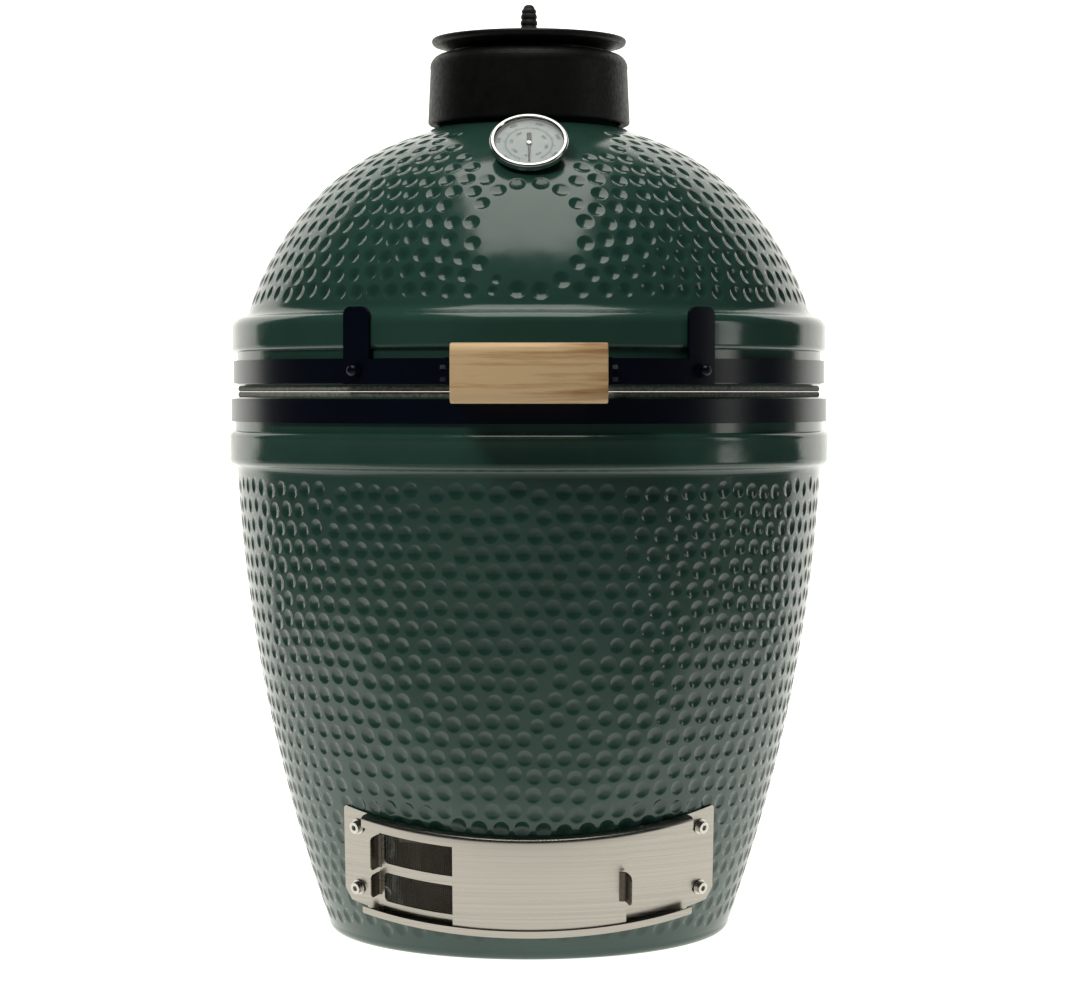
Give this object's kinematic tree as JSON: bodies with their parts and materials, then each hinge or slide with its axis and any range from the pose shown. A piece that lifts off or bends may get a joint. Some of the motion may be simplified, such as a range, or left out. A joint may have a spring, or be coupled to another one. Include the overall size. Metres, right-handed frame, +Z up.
{
  "type": "kamado ceramic grill",
  "caption": "Egg-shaped ceramic charcoal grill with a hinged dome, sliding draft vent at the foot, dial thermometer, wooden handle and iron chimney cap.",
  "frame": {"origin": "centre of the flat foot, on the ground, on the body's axis", "axes": "+Z up along the body's axis, -Y towards the handle and the draft vent, +Y towards the hinge, +X to the right seen from the front"},
  "size_m": [0.4652, 0.5605, 0.7183],
  "materials": {
    "green_glaze": "deep green gloss glaze over a dimpled ceramic wall",
    "bisque": "unglazed fired clay",
    "cast_iron": "black seasoned cast iron",
    "black_steel": "satin black powder coat",
    "stainless": "brushed",
    "bolt_steel": "plain turned steel",
    "mesh_steel": "dark woven wire",
    "felt": "grey pressed felt",
    "grip_wood": "oiled acacia",
    "bezel_chrome": "polished",
    "dial_paint": "matt white with printed scale",
    "needle_paint": "matt black",
    "housing_paint": "satin black",
    "glass": "clear",
    "brass": "dull",
    "knob_rubber": "matt silicone"
  },
  "bodies": {
    "base": {"base_shell": "green_glaze", "firebox": "bisque", "fire_ring": "bisque", "fire_grate": "cast_iron", "cooking_grid": "stainless", "base_gasket": "felt", "base_band": "black_steel", "vent_frame": "stainless", "vent_bolts": "bolt_steel", "vent_washers": "bolt_steel", "vent_anchors": "brass", "hinge_base_bracket": "black_steel", "hinge_base_bolts": "bolt_steel", "hinge_pin": "bolt_steel", "hinge_pin_nut": "bolt_steel", "hinge_springs": "bolt_steel"},
    "dome": {"hinge_dome_bracket": "black_steel", "hinge_dome_bolts": "bolt_steel", "dome_shell": "green_glaze", "dome_gasket": "felt", "dome_band": "black_steel", "handle_bracket_left": "black_steel", "handle_bracket_right": "black_steel", "bracket_bolts": "black_steel", "handle_grip": "grip_wood", "handle_bolts": "black_steel", "gauge_housing": "housing_paint", "gauge_bezel": "bezel_chrome", "gauge_dial": "dial_paint", "gauge_glass": "glass", "gauge_stem": "bolt_steel", "gauge_nut": "bolt_steel", "gauge_clip": "bolt_steel", "chimney_gasket": "felt", "vent_collar": "cast_iron", "cap_pivot_bolt": "bolt_steel"},
    "cap": {"cap_plate": "cast_iron"},
    "daisy": {"daisy_wheel": "cast_iron", "cap_knob": "knob_rubber", "cap_knob_bolt": "bolt_steel", "cap_knob_nut": "bolt_steel"},
    "needle": {"gauge_needle": "needle_paint"},
    "screen_door": {"vent_screen_door": "stainless", "vent_mesh": "mesh_steel"},
    "solid_door": {"vent_door": "stainless"}
  },
  "joints": [
    {"name": "dome_hinge", "type": "hinge", "parent": "base", "child": "dome", "pos_m": [0, 0.264, 0.4178], "axis": [-1, 0, 0], "range_deg": [0, 75], "deforming": ["hinge_springs"]},
    {"name": "cap_swing", "type": "hinge", "parent": "dome", "child": "cap", "pos_m": [0, 0.073, 0.68], "axis": [0, 0, 1], "range_deg": [0, 110]},
    {"name": "daisy_turn", "type": "hinge", "parent": "cap", "child": "daisy", "pos_m": [0, 0, 0.69], "axis": [0, 0, 1], "range_deg": [0, 36]},
    {"name": "needle_turn", "type": "hinge", "parent": "dome", "child": "needle", "pos_m": [0, -0.1436, 0.601], "axis": [0, -0.7254, 0.6884], "range_deg": [-325, 0], "stiffness_Nm_per_rad": 0.002},
    {"name": "solid_door_slide", "type": "hinge", "parent": "base", "child": "solid_door", "pos_m": [0, 0.01814, 0.07317], "axis": [0, -0.2756, 0.9613], "range_deg": [-18, 16]},
    {"name": "screen_door_slide", "type": "hinge", "parent": "base", "child": "screen_door", "pos_m": [0, 0.01814, 0.07317], "axis": [0, -0.2756, 0.9613], "range_deg": [0, 17]}
  ]
}
